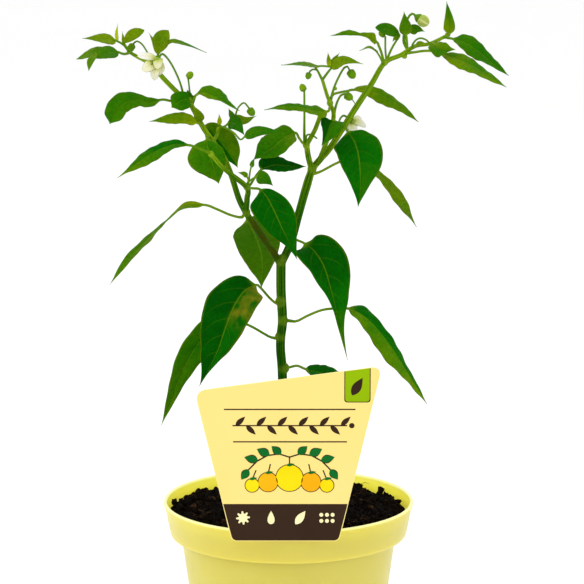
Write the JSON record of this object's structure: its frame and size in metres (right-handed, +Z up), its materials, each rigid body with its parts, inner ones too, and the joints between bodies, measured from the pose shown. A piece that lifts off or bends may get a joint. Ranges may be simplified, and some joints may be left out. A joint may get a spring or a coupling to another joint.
{
  "type": "potted chilli pepper plant",
  "caption": "Young chilli pepper plant with forked stems, pointed leaves, small white flowers and buds, in a round nursery pot with a plant label.",
  "frame": {"origin": "centre of the underside of the pot's flat base, at the height of the surface it stands on", "axes": "+Z up along the pot's axis, -Y out of the face of the plant label, +X to the right of someone who looks at the label"},
  "size_m": [0.2105, 0.1253, 0.3452],
  "materials": {
    "pot_plastic": "satin",
    "soil": "rough",
    "label_plastic": "satin",
    "stake_plastic": "satin",
    "stem": "satin",
    "leaf": "satin",
    "young_growth": "satin",
    "petal": "matte",
    "stamen": "matte"
  },
  "bodies": {
    "root": {"bud_right_fork": "petal", "flower_left_calyx": "young_growth", "flower_left_petals": "petal", "flower_left_stamens": "stamen", "flower_right_calyx": "young_growth", "flower_right_petals": "petal", "flower_right_stamens": "stamen", "label_card": "label_plastic", "label_stake": "stake_plastic", "leaf_inner_shoot_dark": "leaf", "leaf_inner_shoot_flat": "leaf", "leaf_inner_shoot_left": "leaf", "leaf_inner_shoot_right": "leaf", "leaf_left_arched": "leaf", "leaf_left_branch_back": "leaf", "leaf_left_branch_front": "leaf", "leaf_left_branch_low": "leaf", "leaf_left_fork_right": "leaf", "leaf_left_knob_side": "leaf", "leaf_left_pale": "leaf", "leaf_left_round": "leaf", "leaf_left_shoot_hanging": "leaf", "leaf_left_side": "leaf", "leaf_left_top_hanging": "leaf", "leaf_right_branch_back": "leaf", "leaf_right_branch_heart": "leaf", "leaf_right_branch_low": "leaf", "leaf_right_fork_left": "leaf", "leaf_right_tip_dark": "leaf", "leaf_right_tip_lower": "leaf", "leaf_right_tip_upper": "leaf", "leaf_right_tip_upright": "leaf", "leaf_trunk_low": "leaf", "leaf_trunk_lower_left": "leaf", "leaf_trunk_right": "leaf", "leaf_trunk_upper_left": "leaf", "pot": "pot_plastic", "soil": "soil", "spray_inner_tip": "young_growth", "spray_left_flower": "young_growth", "spray_left_fork": "young_growth", "spray_left_knuckle": "young_growth", "spray_left_middle": "young_growth", "spray_left_pale": "young_growth", "spray_left_tip": "young_growth", "spray_right_crown": "young_growth", "spray_right_fork": "young_growth", "spray_right_fork_low": "young_growth", "spray_right_tip": "young_growth", "stem": "stem"}
  },
  "joints": []
}
